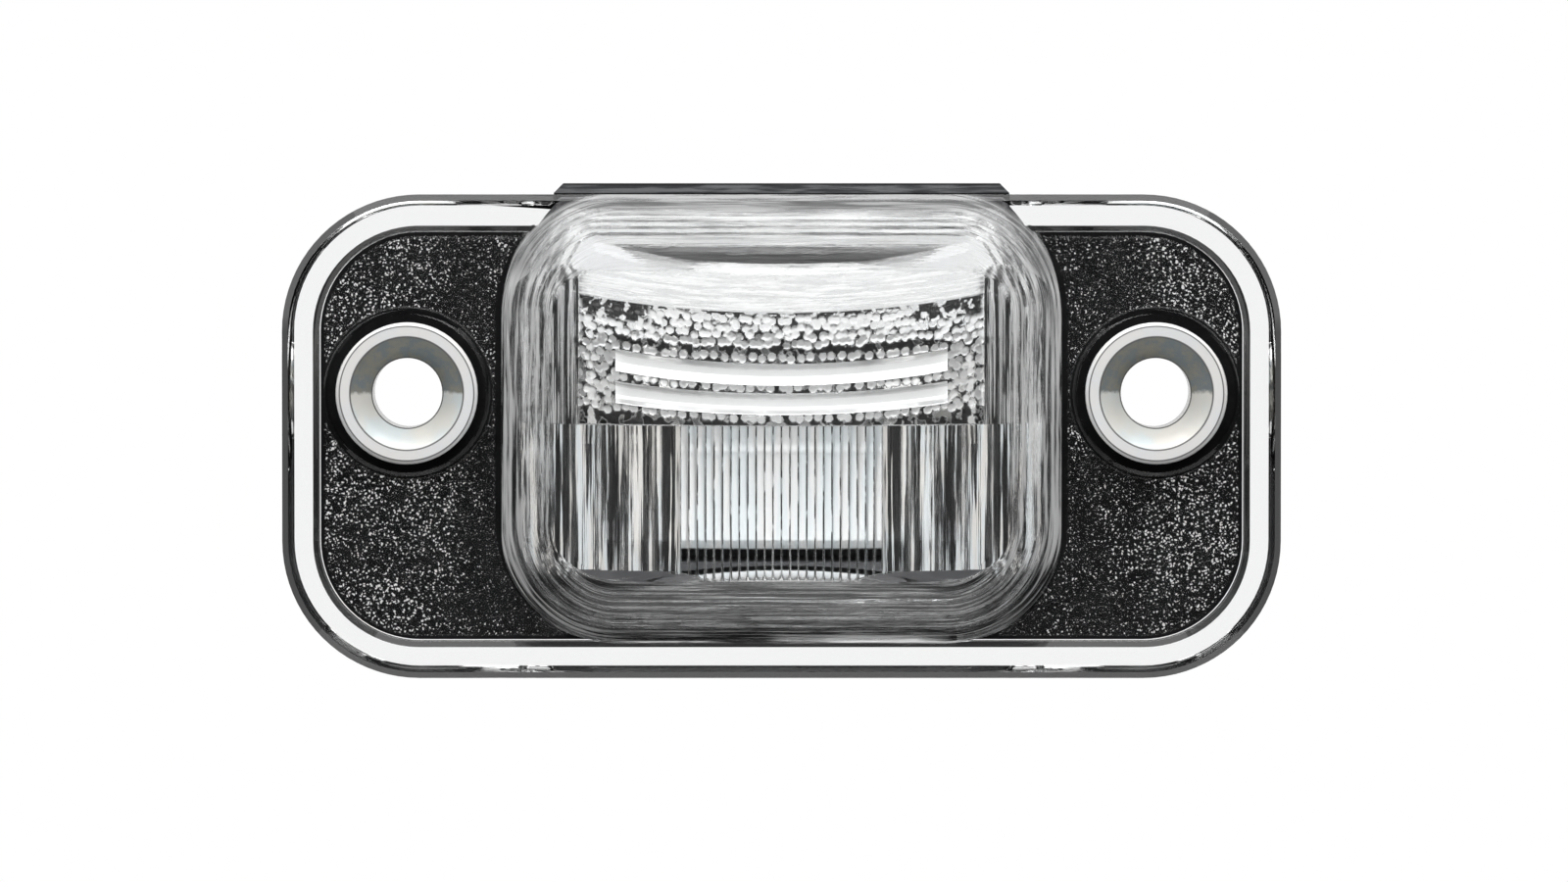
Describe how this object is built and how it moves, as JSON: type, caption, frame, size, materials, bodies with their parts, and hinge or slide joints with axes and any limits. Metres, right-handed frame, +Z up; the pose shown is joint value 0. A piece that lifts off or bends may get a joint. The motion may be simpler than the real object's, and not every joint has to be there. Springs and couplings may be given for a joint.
{
  "type": "number plate lamp",
  "caption": "Screw-mounted number plate lamp: clear flanged lens with a fluted dome over a festoon bulb, steel screw bushes and a black gasket.",
  "frame": {"origin": "middle of the line between the two screw holes, on the mounting face", "axes": "+X to the right seen from the lens side, -Y out of the lens towards the viewer, +Z up"},
  "size_m": [0.08, 0.032, 0.0396],
  "materials": {
    "clear_plastic": "clear, polished, with a grained field on the flange",
    "black_rubber": "grained",
    "zinc_steel": "bright zinc plate",
    "tray_plastic": "dark grey, fine moulded grain",
    "bright_sheet": "bright anodised sheet",
    "spring_strip": "tinned, stamped strip",
    "rivet_metal": "pressed",
    "bulb_glass": "clear",
    "cap_metal": "nickel plated",
    "wire_metal": "drawn wire"
  },
  "bodies": {
    "root": {"lens": "clear_plastic", "mounting_gasket": "black_rubber", "screw_bush_left": "zinc_steel", "screw_bush_right": "zinc_steel", "bulb_carrier": "tray_plastic", "reflector": "bright_sheet", "contact_left": "spring_strip", "contact_right": "spring_strip", "contact_rivet_left": "rivet_metal", "contact_rivet_right": "rivet_metal", "bulb_glass": "bulb_glass", "bulb_cap_left": "cap_metal", "bulb_cap_right": "cap_metal", "filament": "wire_metal", "filament_lead_left": "wire_metal", "filament_lead_right": "wire_metal"}
  },
  "joints": []
}
